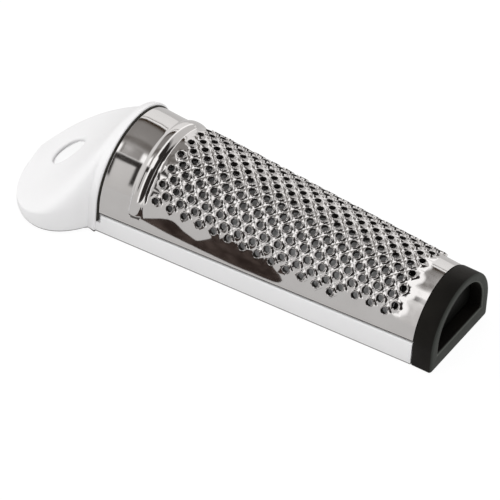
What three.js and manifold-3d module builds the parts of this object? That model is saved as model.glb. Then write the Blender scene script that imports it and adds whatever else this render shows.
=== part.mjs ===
// A hand-held half-round nutmeg grater. A white moulding is both the handle and a shallow tray with two
// side rails. A burred steel shell with a rubber foot at its narrow end draws off the tray along the rails.
// Millimetres. +X runs from the shoulder to the foot, +Z is up, and x = 0 is the shoulder while it is built.
import * as THREE from 'three'
import { mergeVertices } from 'three/addons/utils/BufferGeometryUtils.js'
import Module from 'manifold-3d'

const wasm = await Module()
wasm.setup()

// Lengths along the body
const bodyLength = 113.3 // shoulder to the foot's front face
const handleLength = 32.9 // shoulder to the handle's tail
const footLength = 6.7

// The steel shell's outer section: an arch on two upright sides, smaller at the foot
const shoulderRadius = 20.35
const footEndRadius = 15.6
const shoulderSpring = 9.9 // height at which the arch begins
const footEndSpring = 7.7
const sheetThickness = 0.6

// The tray's rails
const railTopShoulder = 6.5
const railTopFoot = 8.4
const railProud = 0.2 // of the steel
const railWall = 1.6
const railWeb = 1.6
const railRound = 0.6
const upstandWall = 1.5
const floorThickness = 1.6
const lipThickness = 1.1

// Running and seating clearances
const runningGap = 0.35
const seatGap = 0.3

// The folded edge of the shell, and how far the rail's lip reaches over it
const flangeWidth = 3
const lipReach = 2.4

// The handle's hood
const handleWidth = 60
const handleWidestBehind = 14.7 // the shoulder
const hoodProud = 0.95 // of the steel, at the shoulder
const hoodCollar = 2.5 // straight stretch behind the shoulder
const hoodTailHeight = 2.6
const hoodTailHalf = 4 // half the width of the blunt tail
const hoodTailSpring = 2
const hoodRise = 1.94 // power of the profile from tail to shoulder
const hoodWall = 2.2
const hoodRimHeight = 1.5
const hoodRimInset = 1.4
const bulkheadThickness = 2

// The hang hole, an oval across the handle
const hangHoleLength = 13.6
const hangHoleWidth = 6.2
const hangHoleFromTail = 9.9

// Spigot and seal at the shoulder
const spigotLength = 6
const spigotWall = 1.8
const sealProud = 0.5 // of the steel
const sealThickness = 0.6
const sealFoot = 5.5 // height of the seal's lower ends

// The pressed bead across the shell
const beadCentre = 12.6
const beadWidth = 4.6
const beadHeight = 1
const beadArc = 27.5 // from the crown to the bead's end
const beadFade = 2.5

// The field of burred holes: two interleaved grids on the flat sheet
const firstHole = 18.8
const holePitchAlong = 5
const holePitchAcross = 5.25
const holeColumns = 33 // half pitches
const holeRows = 8 // half pitches on each side of the crown
const holeRadius = 1.15
const burrHeight = 0.85
const holeToEdge = 5.75

// The rubber foot and the plug that carries it
const footProud = 0.6
const footTipRound = 0.8
const footBackRound = 0.3
const pocketRadius = 12.6
const pocketSpring = 8.5
const pocketFloor = 5.2
const pocketRound = 0.7
const plugPlateThickness = 1.4
const plugPlateSetback = 4.6 // of the plate behind the foot's front face
const plugPlateGrip = 1.3 // how far the plate reaches into the rubber
const plugCollarLength = 9
const plugWall = 1.6

// How finely round stretches are cut, and where the middle point of a rounded corner lies: that share of
// the corner's radius in from each of its two faces
const archSteps = 24
const cornerShare = 1 - Math.SQRT1_2
const hoodStations = 14
const lipSides = 8

// Places worked out from the sizes above
const footBack = bodyLength - footLength
const shellStart = sealThickness + 2 * seatGap
const shellEnd = footBack - seatGap
const trayEnd = shellEnd - seatGap
const handleHalfWidth = handleWidth / 2
const collarHalf = shoulderRadius + hoodProud

function along(atShoulder, atFoot) {
  return (x) => atShoulder + ((atFoot - atShoulder) * x) / bodyLength
}

const radiusAt = along(shoulderRadius, footEndRadius)
const springAt = along(shoulderSpring, footEndSpring)
const railTopAt = along(railTopShoulder, railTopFoot)
const flangeBottomAt = (x) => railTopAt(x) + runningGap
const lipBottomAt = (x) => flangeBottomAt(x) + sheetThickness + runningGap
const lipTopAt = (x) => lipBottomAt(x) + lipThickness
const flangeTipAt = (x) => radiusAt(x) - sheetThickness - flangeWidth
const upstandOuterAt = (x) => flangeTipAt(x) - runningGap
const upstandInnerAt = (x) => upstandOuterAt(x) - upstandWall

// Solids

function closedGeometry(positions) {
  const geometry = new THREE.BufferGeometry()
  geometry.setAttribute('position', new THREE.Float32BufferAttribute(positions, 3))
  return mergeVertices(geometry, 1e-4)
}

function toSolid(geometry) {
  const merged = geometry.clone()
  merged.deleteAttribute('normal')
  merged.deleteAttribute('uv')
  const shared = mergeVertices(merged, 1e-4)
  const vertProperties = new Float32Array(shared.attributes.position.array)
  const triVerts = new Uint32Array(shared.index.array)
  return new wasm.Manifold(new wasm.Mesh({ numProp: 3, vertProperties, triVerts }))
}

function toGeometry(solid) {
  const mesh = solid.getMesh()
  const geometry = new THREE.BufferGeometry()
  geometry.setAttribute('position', new THREE.BufferAttribute(mesh.vertProperties, 3))
  geometry.setIndex(new THREE.BufferAttribute(mesh.triVerts, 1))
  geometry.computeVertexNormals()
  return geometry
}

// Skins a row of sections into a closed body. Each section is { x, outline }, its outline a closed loop of
// [y, z] points that runs anticlockwise seen from the foot, and all outlines have as many points.
function loft(sections) {
  const positions = []
  const corner = (section, n) => {
    const [y, z] = section.outline[n % section.outline.length]
    return [section.x, y, z]
  }
  const triangle = (a, b, c) => positions.push(...a, ...b, ...c)
  for (let s = 0; s + 1 < sections.length; s++) {
    const near = sections[s]
    const far = sections[s + 1]
    for (let n = 0; n < near.outline.length; n++) {
      triangle(corner(near, n), corner(near, n + 1), corner(far, n + 1))
      triangle(corner(near, n), corner(far, n + 1), corner(far, n))
    }
  }
  const first = sections[0]
  const last = sections[sections.length - 1]
  const contour = first.outline.map(([y, z]) => new THREE.Vector2(y, z))
  for (const [a, b, c] of THREE.ShapeUtils.triangulateShape(contour, [])) {
    triangle(corner(first, a), corner(first, c), corner(first, b))
    triangle(corner(last, a), corner(last, b), corner(last, c))
  }
  return toSolid(closedGeometry(positions))
}

function block(x0, x1, y0, y1, z0, z1) {
  const box = new THREE.BoxGeometry(x1 - x0, y1 - y0, z1 - z0)
  box.translate((x0 + x1) / 2, (y0 + y1) / 2, (z0 + z1) / 2)
  return toSolid(box)
}

// An arch of the given half width and rise on upright sides that stand between bottom and spring
function archOutline(halfWidth, spring, top, bottom) {
  const outline = [[-halfWidth, bottom], [halfWidth, bottom]]
  for (let n = 0; n <= archSteps; n++) {
    const turned = (Math.PI * n) / archSteps
    outline.push([halfWidth * Math.cos(turned), spring + (top - spring) * Math.sin(turned)])
  }
  return outline
}

// The arch of the steel's outer face at station x, moved out by offset, on sides that go down to bottom
function bodySection(x, offset, bottom, sectionAt = x) {
  const radius = radiusAt(sectionAt) + offset
  const spring = springAt(sectionAt)
  return { x, outline: archOutline(radius, spring, spring + radius, bottom) }
}

function bodyBetween(x0, x1, offset, bottom) {
  return loft([bodySection(x0, offset, bottom), bodySection(x1, offset, bottom)])
}

function prism(x0, x1, outline) {
  return loft([{ x: x0, outline }, { x: x1, outline }])
}

// The space under a sloping plane, wider and deeper than the body
function belowPlane(x0, x1, heightAt) {
  const wide = handleHalfWidth
  const under = (x) => [[-wide, -wide], [wide, -wide], [wide, heightAt(x)], [-wide, heightAt(x)]]
  return loft([{ x: x0, outline: under(x0) }, { x: x1, outline: under(x1) }])
}

// The outline of the foot's pocket, grown by a margin
function pocketOutline(grow) {
  const top = pocketSpring + pocketRadius + grow
  return archOutline(pocketRadius + grow, pocketSpring, top, pocketFloor - grow)
}

// Handle and tray

function hoodOutline(halfWidth, spring, top) {
  const inset = (hoodRimInset * halfWidth) / (halfWidth + hoodRimInset)
  const narrow = halfWidth - inset
  const rounded = halfWidth - inset * cornerShare
  const roundedHeight = hoodRimHeight * cornerShare
  const outline = [[-narrow, 0], [narrow, 0], [rounded, roundedHeight], [halfWidth, hoodRimHeight]]
  for (let n = 0; n <= archSteps; n++) {
    const turned = (Math.PI * n) / archSteps
    outline.push([halfWidth * Math.cos(turned), spring + (top - spring) * Math.sin(turned)])
  }
  outline.push([-halfWidth, hoodRimHeight], [-rounded, roundedHeight])
  return outline
}

// Half width of the hood at station x: an oval with a blunt tail, which ends on the collar's width
function hoodHalfWidth(x) {
  if (x >= -hoodCollar) return collarHalf
  const spread = Math.sqrt(1 - (collarHalf / handleHalfWidth) ** 2)
  const ahead = (handleWidestBehind - hoodCollar) / spread
  const behind = handleLength - handleWidestBehind
  const fromWidest = x + handleWidestBehind
  if (fromWidest > 0) return handleHalfWidth * Math.sqrt(1 - (fromWidest / ahead) ** 2)
  const blunt = (hoodTailHalf / handleHalfWidth) ** 2
  return handleHalfWidth * Math.sqrt(1 - (1 - blunt) * (fromWidest / behind) ** 2)
}

const wayUpHood = (x) => THREE.MathUtils.clamp((x + handleLength) / (handleLength - hoodCollar), 0, 1)

function hoodTop(x) {
  return hoodTailHeight + (shoulderSpring + collarHalf - hoodTailHeight) * wayUpHood(x) ** hoodRise
}

function hoodSpring(x) {
  return hoodTailSpring + (shoulderSpring - hoodTailSpring) * wayUpHood(x)
}

function hoodOuter() {
  const sections = []
  const reach = handleLength - hoodCollar
  for (let n = 0; n <= hoodStations; n++) {
    const x = -hoodCollar - reach * Math.cos((Math.PI * n) / (2 * hoodStations))
    sections.push({ x, outline: hoodOutline(hoodHalfWidth(x), hoodSpring(x), hoodTop(x)) })
  }
  sections.push({ x: 0, outline: hoodOutline(collarHalf, shoulderSpring, shoulderSpring + collarHalf) })
  return loft(sections)
}

// The hollow under the hood follows its outer face a wall inside it, and opens through the base
function hoodHollow() {
  const sections = []
  const start = -handleLength + 2 * hoodWall
  const end = -bulkheadThickness
  for (let n = 0; n <= hoodStations; n++) {
    const x = start + ((end - start) * n) / hoodStations
    const top = hoodTop(x - hoodWall) - hoodWall
    const spring = Math.min(hoodSpring(x) - hoodWall, top)
    sections.push({ x, outline: archOutline(hoodHalfWidth(x) - hoodWall, spring, top, -hoodWall) })
  }
  return loft(sections)
}

function hangHole() {
  const oval = new THREE.Shape()
  oval.absellipse(0, 0, hangHoleWidth / 2, hangHoleLength / 2, 0, 2 * Math.PI)
  const depth = shoulderSpring + shoulderRadius
  const hole = new THREE.ExtrudeGeometry(oval, { depth, bevelEnabled: false, curveSegments: 14 })
  hole.translate(-handleLength + hangHoleFromTail, 0, -hoodWall)
  return toSolid(hole)
}

// Half of the tray's section at station x, from the middle of the floor out to the rail and up the upstand
function trayOutline(x) {
  const outer = radiusAt(x) + railProud
  const railTop = railTopAt(x)
  const upstandOuter = upstandOuterAt(x)
  const upstandInner = upstandInnerAt(x)
  const lipOuter = flangeTipAt(x) + lipReach
  const half = [
    [upstandInner, 0],
    [upstandOuter, 0],
    [upstandOuter, railTop - railWeb],
    [outer - railWall, railTop - railWeb],
    [outer - railWall, 0],
    [outer, 0],
    [outer, railTop - railRound],
    [outer - railRound * cornerShare, railTop - railRound * cornerShare],
    [outer - railRound, railTop],
    [upstandOuter, railTop],
    [upstandOuter, lipBottomAt(x)],
    [lipOuter, lipBottomAt(x)],
    [lipOuter, lipTopAt(x)],
    [upstandInner, lipTopAt(x)],
    [upstandInner, floorThickness],
  ]
  const mirrored = half.map(([y, z]) => [-y, z]).reverse()
  return [...half, ...mirrored]
}

// The tray ends behind the plug's neck, and the outer parts of its rails run on to the foot
function tray() {
  const sections = [-bulkheadThickness, shellEnd].map((x) => ({ x, outline: trayOutline(x) }))
  const beside = pocketRadius
  const neckRoom = block(trayEnd, footBack, -beside, beside, -seatGap, lipTopAt(shellEnd) + seatGap)
  return loft(sections).subtract(neckRoom)
}

// The spigot that the shell's mouth slides over, hollow like the chamber
function spigot() {
  const start = -bulkheadThickness
  const outer = -sheetThickness - runningGap
  const foot = lipTopAt(0) - lipThickness / 2
  const skin = loft([bodySection(start, outer, foot, spigotLength), bodySection(spigotLength, outer, foot)])
  const inner = outer - spigotWall
  const below = foot - 1
  const core = loft([
    bodySection(0, inner, below, spigotLength),
    bodySection(spigotLength + 1, inner, below, spigotLength),
  ])
  return skin.subtract(core)
}

function handleTray() {
  const hood = hoodOuter().subtract(hoodHollow()).subtract(hangHole())
  const slotDepth = shellStart + runningGap
  const wide = collarHalf + 1
  const sealInner = radiusAt(spigotLength) - sheetThickness - runningGap
  const above = sealFoot - seatGap
  const slot = block(0, slotDepth, -wide, wide, above, lipTopAt(0) + 1)
  const kept = block(-1, slotDepth + 1, -sealInner, sealInner, above - 1, lipTopAt(0) + 2)
  const base = tray().subtract(slot.subtract(kept))
  return toGeometry(hood.add(base).add(spigot()))
}

// Seal

function shoulderSeal() {
  const start = seatGap
  const end = seatGap + sealThickness
  const outer = loft([bodySection(start, sealProud, sealFoot, 0), bodySection(end, sealProud, sealFoot, 0)])
  const innerOffset = -sheetThickness - runningGap + seatGap
  const below = sealFoot - 1
  const inner = loft([
    bodySection(start - 1, innerOffset, below, spigotLength),
    bodySection(end + 1, innerOffset, below, spigotLength),
  ])
  return toGeometry(outer.subtract(inner))
}

// Grating shell. It is drawn once as a flat net of points, each with a place on the outer and on the inner
// face of the sheet, and the net's triangles then make both faces. A hole's lip has one place for both.

const coneAngle = Math.atan2(shoulderRadius - footEndRadius, bodyLength)
const slantToApex = shoulderRadius / Math.sin(coneAngle)

// Rolls the flat sheet up: station at the crown and distance across it become a station and an arc length
function rollSheet(station, across) {
  const toApex = slantToApex - station / Math.cos(coneAngle)
  const slant = Math.hypot(toApex, across)
  const turned = Math.atan2(across, toApex) / Math.sin(coneAngle)
  const x = (slantToApex - slant) * Math.cos(coneAngle)
  return { x, arc: turned * radiusAt(x) }
}

function onWall(x, arc, lift) {
  const radius = radiusAt(x)
  const quarter = (radius * Math.PI) / 2
  const turned = Math.min(Math.abs(arc), quarter) / radius
  const down = Math.max(Math.abs(arc) - quarter, 0)
  const y = Math.sign(arc) * (radius + lift) * Math.sin(turned)
  return [x, y, springAt(x) + (radius + lift) * Math.cos(turned) - down]
}

// Arc length from the crown to the fold above the rail
function edgeArc(x) {
  const radius = radiusAt(x)
  const drop = springAt(x) - flangeBottomAt(x)
  return drop > 0 ? (radius * Math.PI) / 2 + drop : radius * Math.acos(-drop / radius)
}

function beadLift(x, arc) {
  const across = Math.min(Math.abs(x - beadCentre) / (beadWidth / 2), 1)
  const faded = THREE.MathUtils.clamp((beadArc + beadFade - Math.abs(arc)) / beadFade, 0, 1)
  return (beadHeight * faded * (1 + Math.cos(Math.PI * across))) / 2
}

class SheetNet {
  outer = []
  inner = []
  faces = []

  add(outer, inner) {
    this.outer.push(outer)
    this.inner.push(inner)
    return this.outer.length - 1
  }

  addOnWall(x, arc) {
    const lift = beadLift(x, arc)
    return this.add(onWall(x, arc, lift), onWall(x, arc, lift - sheetThickness))
  }

  fill(loop) {
    const corners = loop.filter((point, n) => point !== loop[(n + 1) % loop.length])
    for (let n = 1; n + 1 < corners.length; n++) this.faces.push([corners[0], corners[n], corners[n + 1]])
  }

  // Quads between two lists of points, where the second lies to the left of the first
  strip(right, left) {
    for (let n = 0; n + 1 < right.length; n++) this.fill([right[n], right[n + 1], left[n + 1], left[n]])
  }

  geometry() {
    const positions = []
    const edges = new Set()
    for (const [a, b, c] of this.faces) {
      positions.push(...this.outer[a], ...this.outer[b], ...this.outer[c])
      positions.push(...this.inner[a], ...this.inner[c], ...this.inner[b])
      for (const [from, to] of [[a, b], [b, c], [c, a]]) edges.add(`${from} ${to}`)
    }
    for (const edge of edges) {
      const [from, to] = edge.split(' ').map(Number)
      const isLip = this.outer[from] === this.inner[from] && this.outer[to] === this.inner[to]
      if (edges.has(`${to} ${from}`) || isLip) continue
      positions.push(...this.outer[to], ...this.outer[from], ...this.inner[from])
      positions.push(...this.outer[to], ...this.inner[from], ...this.inner[to])
    }
    return closedGeometry(positions)
  }
}

// The points from the last row of the net down to the fold and in along the flange, at one station
function marginPoints(net, x, arc) {
  const side = Math.sign(arc)
  const edge = edgeArc(x)
  const steps = [1 / 3, 2 / 3].map((share) => Math.abs(arc) + (edge - Math.abs(arc)) * share)
  const points = steps.map((reached) => net.addOnWall(x, side * reached))
  const z = flangeBottomAt(x)
  const [, foldY] = onWall(x, edge, 0)
  const tip = flangeTipAt(x)
  const top = z + sheetThickness
  points.push(net.add([x, side * foldY, z], [x, side * (foldY - sheetThickness), top]))
  points.push(net.add([x, side * tip, z], [x, side * tip, top]))
  return points
}

function gratingShell() {
  const net = new SheetNet()
  const stepAlong = holePitchAlong / 2
  const stepAcross = holePitchAcross / 2
  const borderRow = holeRows + 1
  const points = new Map()
  const place = (column, row) => rollSheet(firstHole + column * stepAlong, row * stepAcross)
  const inField = (column, row) => column >= -1 && column <= holeColumns && Math.abs(row) <= borderRow
  const onBorder = (column, row) => column === -1 || column === holeColumns || Math.abs(row) === borderRow
  const isSite = (column, row) => (column + row) % 2 === 0
  const point = (column, row) => {
    const key = `${column} ${row}`
    if (!points.has(key)) {
      const { x, arc } = place(column, row)
      points.set(key, net.addOnWall(x, arc))
    }
    return points.get(key)
  }

  const hasHole = (column, row) => {
    const { x, arc } = place(column, row)
    return !onBorder(column, row) && edgeArc(x) - Math.abs(arc) >= holeToEdge
  }

  const punch = (column, row, corners) => {
    const lip = []
    for (let n = 0; n < lipSides; n++) {
      const turned = (2 * Math.PI * n) / lipSides
      const station = firstHole + column * stepAlong + holeRadius * Math.cos(turned)
      const { x, arc } = rollSheet(station, row * stepAcross + holeRadius * Math.sin(turned))
      const lifted = onWall(x, arc, burrHeight)
      lip.push(net.add(lifted, lifted))
    }
    const perCorner = lipSides / 4
    for (let q = 0; q < 4; q++) {
      const next = (q + 1) % 4
      const middle = lip[q * perCorner + perCorner / 2]
      net.fill([corners[q], middle, lip[q * perCorner]])
      net.fill([corners[q], corners[next], middle])
      net.fill([corners[next], lip[(next * perCorner) % lipSides], middle])
    }
  }

  for (let column = -1; column <= holeColumns; column++) {
    for (let row = -borderRow; row <= borderRow; row++) {
      if (!isSite(column, row)) continue
      const around = [[column + 1, row], [column, row + 1], [column - 1, row], [column, row - 1]]
      const corners = around.map(([c, r]) => (inField(c, r) ? point(c, r) : point(column, row)))
      if (hasHole(column, row)) punch(column, row, corners)
      else net.fill(corners)
    }
  }

  // Margins along both sides, down to the fold and in along the flange
  const sideMargins = {}
  for (const side of [-1, 1]) {
    const border = []
    const margins = []
    for (let column = -1; column <= holeColumns; column++) {
      const { x, arc } = place(column, side * borderRow)
      border.push(point(column, side * borderRow))
      margins.push(marginPoints(net, x, arc))
    }
    const rows = [border]
    for (let n = 0; n < margins[0].length; n++) rows.push(margins.map((margin) => margin[n]))
    for (let n = 0; n + 1 < rows.length; n++) {
      if (side > 0) net.strip(rows[n], rows[n + 1])
      else net.strip(rows[n + 1], rows[n])
    }
    sideMargins[side] = { first: margins[0], last: margins[margins.length - 1] }
  }

  // Plain bands before and after the field, one list of points for each station
  const fieldEnd = (column, which) => {
    const field = []
    for (let row = -borderRow; row <= borderRow; row++) field.push(point(column, row))
    return [...sideMargins[-1][which].toReversed(), ...field, ...sideMargins[1][which]]
  }
  const bandStation = (x, column) => {
    const spacing = (stepAcross * edgeArc(x)) / edgeArc(place(column, 0).x)
    const band = []
    for (let row = -borderRow; row <= borderRow; row++) band.push(net.addOnWall(x, row * spacing))
    const low = marginPoints(net, x, -borderRow * spacing)
    const high = marginPoints(net, x, borderRow * spacing)
    return [...low.toReversed(), ...band, ...high]
  }
  const beadShares = [-1, -0.5, 0, 0.5, 1]
  const beadStations = beadShares.map((share) => beadCentre + (share * beadWidth) / 2)
  const middle = (shellStart + beadStations[0]) / 2
  const before = [shellStart, middle, ...beadStations].map((x) => bandStation(x, -1))
  const columns = [...before, fieldEnd(-1, 'first')]
  for (let n = 0; n + 1 < columns.length; n++) net.strip(columns[n + 1], columns[n])
  net.strip(bandStation(shellEnd, holeColumns), fieldEnd(holeColumns, 'last'))
  return net.geometry()
}

// End plug and foot

function endPlug() {
  const innerFace = -sheetThickness - seatGap
  const collarStart = footBack - plugCollarLength
  const collarFoot = (x) => lipTopAt(x) + runningGap
  const inside = innerFace - plugWall
  const webBack = shellEnd - plugWall
  const skin = bodyBetween(collarStart, footBack, innerFace, 0)
  const core = bodyBetween(collarStart - 1, webBack, inside, -1)
  const clearOfLips = belowPlane(collarStart - 1, footBack + 1, collarFoot)
  const webHalf = upstandInnerAt(shellEnd) - runningGap
  const webFoot = floorThickness + runningGap
  const web = block(webBack, footBack, -webHalf, webHalf, webFoot, collarFoot(footBack) + 1)
  const plateFront = bodyLength - plugPlateSetback
  const neck = prism(shellEnd, plateFront, pocketOutline(-seatGap))
  const plate = prism(plateFront - plugPlateThickness, plateFront, pocketOutline(plugPlateGrip - seatGap))
  const collar = skin.subtract(core).subtract(clearOfLips)
  return toGeometry(collar.add(web).add(neck).add(plate))
}

function footCap() {
  const sectionAt = (x, inset) => bodySection(x, footProud - inset, inset, bodyLength)
  const tip = bodyLength - footTipRound
  const skin = loft([
    sectionAt(footBack, footBackRound),
    sectionAt(footBack + footBackRound, 0),
    sectionAt(tip, 0),
    sectionAt(bodyLength - footTipRound * cornerShare, footTipRound * cornerShare),
    sectionAt(bodyLength, footTipRound),
  ])
  const pocket = loft([
    { x: footBack - 1, outline: pocketOutline(0) },
    { x: bodyLength - pocketRound, outline: pocketOutline(0) },
    { x: bodyLength + 1, outline: pocketOutline(pocketRound + 1) },
  ])
  const plateFront = bodyLength - plugPlateSetback + seatGap
  const plateBack = plateFront - plugPlateThickness - 2 * seatGap
  const groove = prism(plateBack, plateFront, pocketOutline(plugPlateGrip))
  return toGeometry(skin.subtract(pocket).subtract(groove))
}

// Finishes

const whitePlastic = { color: 0xf2f0f1, roughness: 0.22, metalness: 0 }
const blackRubber = { color: 0x1c1b18, roughness: 0.62, metalness: 0 }
const blackPlastic = { color: 0x121210, roughness: 0.45, metalness: 0 }
const polishedSteel = { color: 0xc6c1bd, roughness: 0.12, metalness: 1 }

function piece(name, geometry, finish) {
  const mesh = new THREE.Mesh(geometry, new THREE.MeshStandardMaterial(finish))
  mesh.name = name
  return mesh
}

// Everything that draws off with the shell is one group
const drawnOff = new THREE.Group()
drawnOff.add(piece('grating_shell', gratingShell(), polishedSteel))
drawnOff.add(piece('end_plug', endPlug(), blackPlastic))
drawnOff.add(piece('foot_cap', footCap(), blackRubber))

// The origin goes to the middle of the base, under the middle of the whole length
const grater = new THREE.Group()
grater.position.x = (handleLength - bodyLength) / 2
grater.add(piece('handle_tray', handleTray(), whitePlastic))
grater.add(piece('shoulder_seal', shoulderSeal(), blackRubber))
grater.add(drawnOff)

const assembly = new THREE.Group()
assembly.add(grater)

export default assembly
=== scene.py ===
"""Looks of a hand-held half-round nutmeg grater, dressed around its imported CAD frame.

A white moulding is handle and tray in one. A polished steel shell with punched burrs, closed by a black
plug and a rubber foot, draws off the tray. Sizes are in millimetres in the shoulder's own frame, where
x = 0 is the handle's shoulder, and place() turns them into the row frame in metres.
"""

from math import acos, atan2, copysign, cos, hypot, pi, radians, sin, sqrt, tan

import bmesh
import bpy
from mathutils import Matrix, Vector


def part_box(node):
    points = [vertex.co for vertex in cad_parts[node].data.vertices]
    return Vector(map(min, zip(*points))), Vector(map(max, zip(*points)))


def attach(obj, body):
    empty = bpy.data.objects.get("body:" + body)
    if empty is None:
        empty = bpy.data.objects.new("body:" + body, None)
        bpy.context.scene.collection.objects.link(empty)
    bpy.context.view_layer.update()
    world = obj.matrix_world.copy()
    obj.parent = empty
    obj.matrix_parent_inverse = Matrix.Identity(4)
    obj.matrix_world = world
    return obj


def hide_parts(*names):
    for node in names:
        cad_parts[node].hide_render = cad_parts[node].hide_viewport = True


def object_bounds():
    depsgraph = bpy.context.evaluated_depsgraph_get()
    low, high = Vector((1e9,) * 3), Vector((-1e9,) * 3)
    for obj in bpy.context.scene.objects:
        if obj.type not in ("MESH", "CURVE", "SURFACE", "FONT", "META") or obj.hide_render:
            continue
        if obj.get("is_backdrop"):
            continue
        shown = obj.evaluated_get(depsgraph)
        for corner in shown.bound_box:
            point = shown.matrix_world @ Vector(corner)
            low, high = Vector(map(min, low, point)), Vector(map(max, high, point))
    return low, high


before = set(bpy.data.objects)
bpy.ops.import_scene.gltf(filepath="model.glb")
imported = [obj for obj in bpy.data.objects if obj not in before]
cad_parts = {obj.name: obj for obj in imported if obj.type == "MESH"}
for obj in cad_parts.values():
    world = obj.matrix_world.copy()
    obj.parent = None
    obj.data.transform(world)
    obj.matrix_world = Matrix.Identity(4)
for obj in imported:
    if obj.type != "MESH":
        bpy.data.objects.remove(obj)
cad_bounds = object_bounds()

MM = 0.001

# Places along the grater, read from the frame
HANDLE_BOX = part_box("handle_tray")
SHELL_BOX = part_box("grating_shell")
FOOT_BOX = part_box("foot_cap")
SEAT_GAP = 0.3
SHELL_START = 0.6 + 2 * SEAT_GAP
SHOULDER = SHELL_BOX[0].x / MM - SHELL_START
TAIL = HANDLE_BOX[0].x / MM - SHOULDER
FOOT_FRONT = FOOT_BOX[1].x / MM - SHOULDER
FOOT_BACK = FOOT_BOX[0].x / MM - SHOULDER
SHELL_END = SHELL_BOX[1].x / MM - SHOULDER
TRAY_END = SHELL_END - SEAT_GAP

# Steel shell: an arch on upright sides, smaller at the foot
SHOULDER_RADIUS = 20.35
FOOT_RADIUS = 15.6
SHOULDER_SPRING = 9.9
FOOT_SPRING = 7.7
SHEET = 0.6
FOLD_RADIUS = 0.7
MOUTH = 0.58
MOUTH_ROUND = 0.3
RUNNING_GAP = 0.35
FLANGE_WIDTH = 3.0

# Tray and rails
RAIL_TOP_SHOULDER = 6.5
RAIL_TOP_FOOT = 8.4
RAIL_PROUD = 0.2
RAIL_WALL = 1.6
RAIL_ROUND = 0.6
RAIL_FOOT_ROUND = 0.45
UPSTAND_WALL = 1.5
FLOOR_THICKNESS = 1.6
LIP_THICKNESS = 1.1
LIP_REACH = 2.4
LIP_ROUND = 0.3

# Handle hood
HOOD_HALF = 30.0
HOOD_WIDEST = -14.7
HOOD_COLLAR = 2.5
COLLAR_HALF = SHOULDER_RADIUS + 0.95
HOOD_TAIL_HALF = 4.0
HOOD_TAIL_TOP = 2.6
HOOD_TAIL_SPRING = 1.3
HOOD_RISE = 1.94
HOOD_SPRING_RISE = 1.3
HOOD_SOFTER = 0.5
COLLAR_SOFT = 0.09
HOOD_WALL = 2.2
HOOD_RIM = 1.5
HOOD_RIM_INSET = 1.4
HOOD_EDGE_ROUND = 0.5
COLLAR_ROUND = 0.65
BULKHEAD = 2.0
TRAY_ROOT = 0.7 * BULKHEAD
HANG_HOLE = Vector((TAIL + 9.9, 0))
HANG_HOLE_HALF_X = 3.3
HANG_HOLE_HALF_Y = 6.8
HANG_HOLE_ROUND = 1.25
HOLE_THINNED = 1.2
HOLE_THINNED_REACH = 4.0
HOLE_LEAST_EDGE = 0.1

# Spigot and seal
SPIGOT_LENGTH = 6.0
SPIGOT_WALL = 1.8
SEAL_START = 0.04
SEAL_END = 0.5
SEAL_PROUD = 0.25
SEAL_FOOT = 4.1
SEAL_ROUND = 0.22

# Bead pressed across the shell
BEAD_X = 12.6
BEAD_HALF = 2.3
BEAD_HEIGHT = 0.88
BEAD_ARC = 27.5
BEAD_FLATNESS = 2.6
BEAD_FULLNESS = 0.8
BEAD_SKIRT = 3.0
SKIRT_HEIGHT = 0.18

# Burred holes: two interleaved grids on the flat sheet, counted in half pitches
FIRST_HOLE = 18.8
HALF_PITCH_ALONG = 2.5
HALF_PITCH_ACROSS = 2.625
HOLE_COLUMNS = 33
HOLE_ROWS = 8
HOLE_TO_EDGE = 5.75
FIELD_EDGE = HOLE_ROWS + 1
FIELD_START = FIRST_HOLE - HALF_PITCH_ALONG
FIELD_END = FIRST_HOLE + HOLE_COLUMNS * HALF_PITCH_ALONG

# One burr: the sheet is drawn up round it, its flank steepens to a thin lip. (radius, height, share of lip)
BURR_SIDES = 12
BURR_FOOT = 1.77
BURR_RAISE = 0.08
BURR_FLANK = ((1.55, 0.17, 0.1), (1.32, 0.29, 0.3), (1.23, 0.52, 0.6), (1.18, 0.85, 1))
BURR_BORE = ((1.07, 0.81, 1), (1.05, -0.4, 0))
BURR_LEAN = 0.09
BURR_SEED = 7

# Rubber foot
FOOT_PROUD = 0.6
FOOT_TIP_ROUND = 0.8
FOOT_BACK_ROUND = 0.3
FOOT_CORNER = 0.7
POCKET_RADIUS = 12.6
POCKET_SPRING = 8.5
POCKET_FLOOR = 5.2
POCKET_ROUND = 0.7
POCKET_CORNER = 1.0
PLATE_FRONT = FOOT_FRONT - 4.6 + SEAT_GAP
PLATE_GROOVE = 1.4 + 2 * SEAT_GAP
PLATE_GRIP = 1.3

# Steps of an arch and a rounding, edges that stay hard, a cutter's reach past what it cuts, weld of a burr
ARCH_STEPS = 72
ROUND_STEPS = 6
HARD_EDGE = radians(38)
HARD_STEEL_EDGE = radians(50)
CUT_PAST = 1.0
WELD = 0.004

# Colours
WHITE_TONES = (0.85, 0.845, 0.85), (0.885, 0.88, 0.885)
# Grey of the painted contact shadow at the white moulding's foot
CONTACT_SHADOW_GREY = (0.12, 0.11, 0.11)
POLISHED_TONES = (0.68, 0.665, 0.66), (0.76, 0.75, 0.745)
# Dull inner steel, darkened as painted shade
DULL_SHADED_TONES = (0.11, 0.1, 0.096), (0.18, 0.168, 0.16)
FOOT_TONES = (0.003, 0.0024, 0.0016), (0.009, 0.0077, 0.0055)
SEAL_TONES = (0.02, 0.018, 0.014), (0.036, 0.034, 0.027)
# Grey of the painted highlight along the foot's pocket rim
RIM_HIGHLIGHT_GREY = (0.17, 0.178, 0.16)
PLUG_TONES = (0.003, 0.003, 0.0025), (0.006, 0.006, 0.0055)
CARD_TONES = (0.03, 0.021, 0.018), (0.095, 0.072, 0.063)
WHITE = (1.0, 1.0, 1.0, 1)
FLOOR_PAINTS = (0.62, 0.62, 0.62, 1), (0.11, 0.11, 0.11, 1)
FLOOR_GLOWS = (1.0, 1.0, 1.0), (1.0, 0.98, 0.965)
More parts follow.
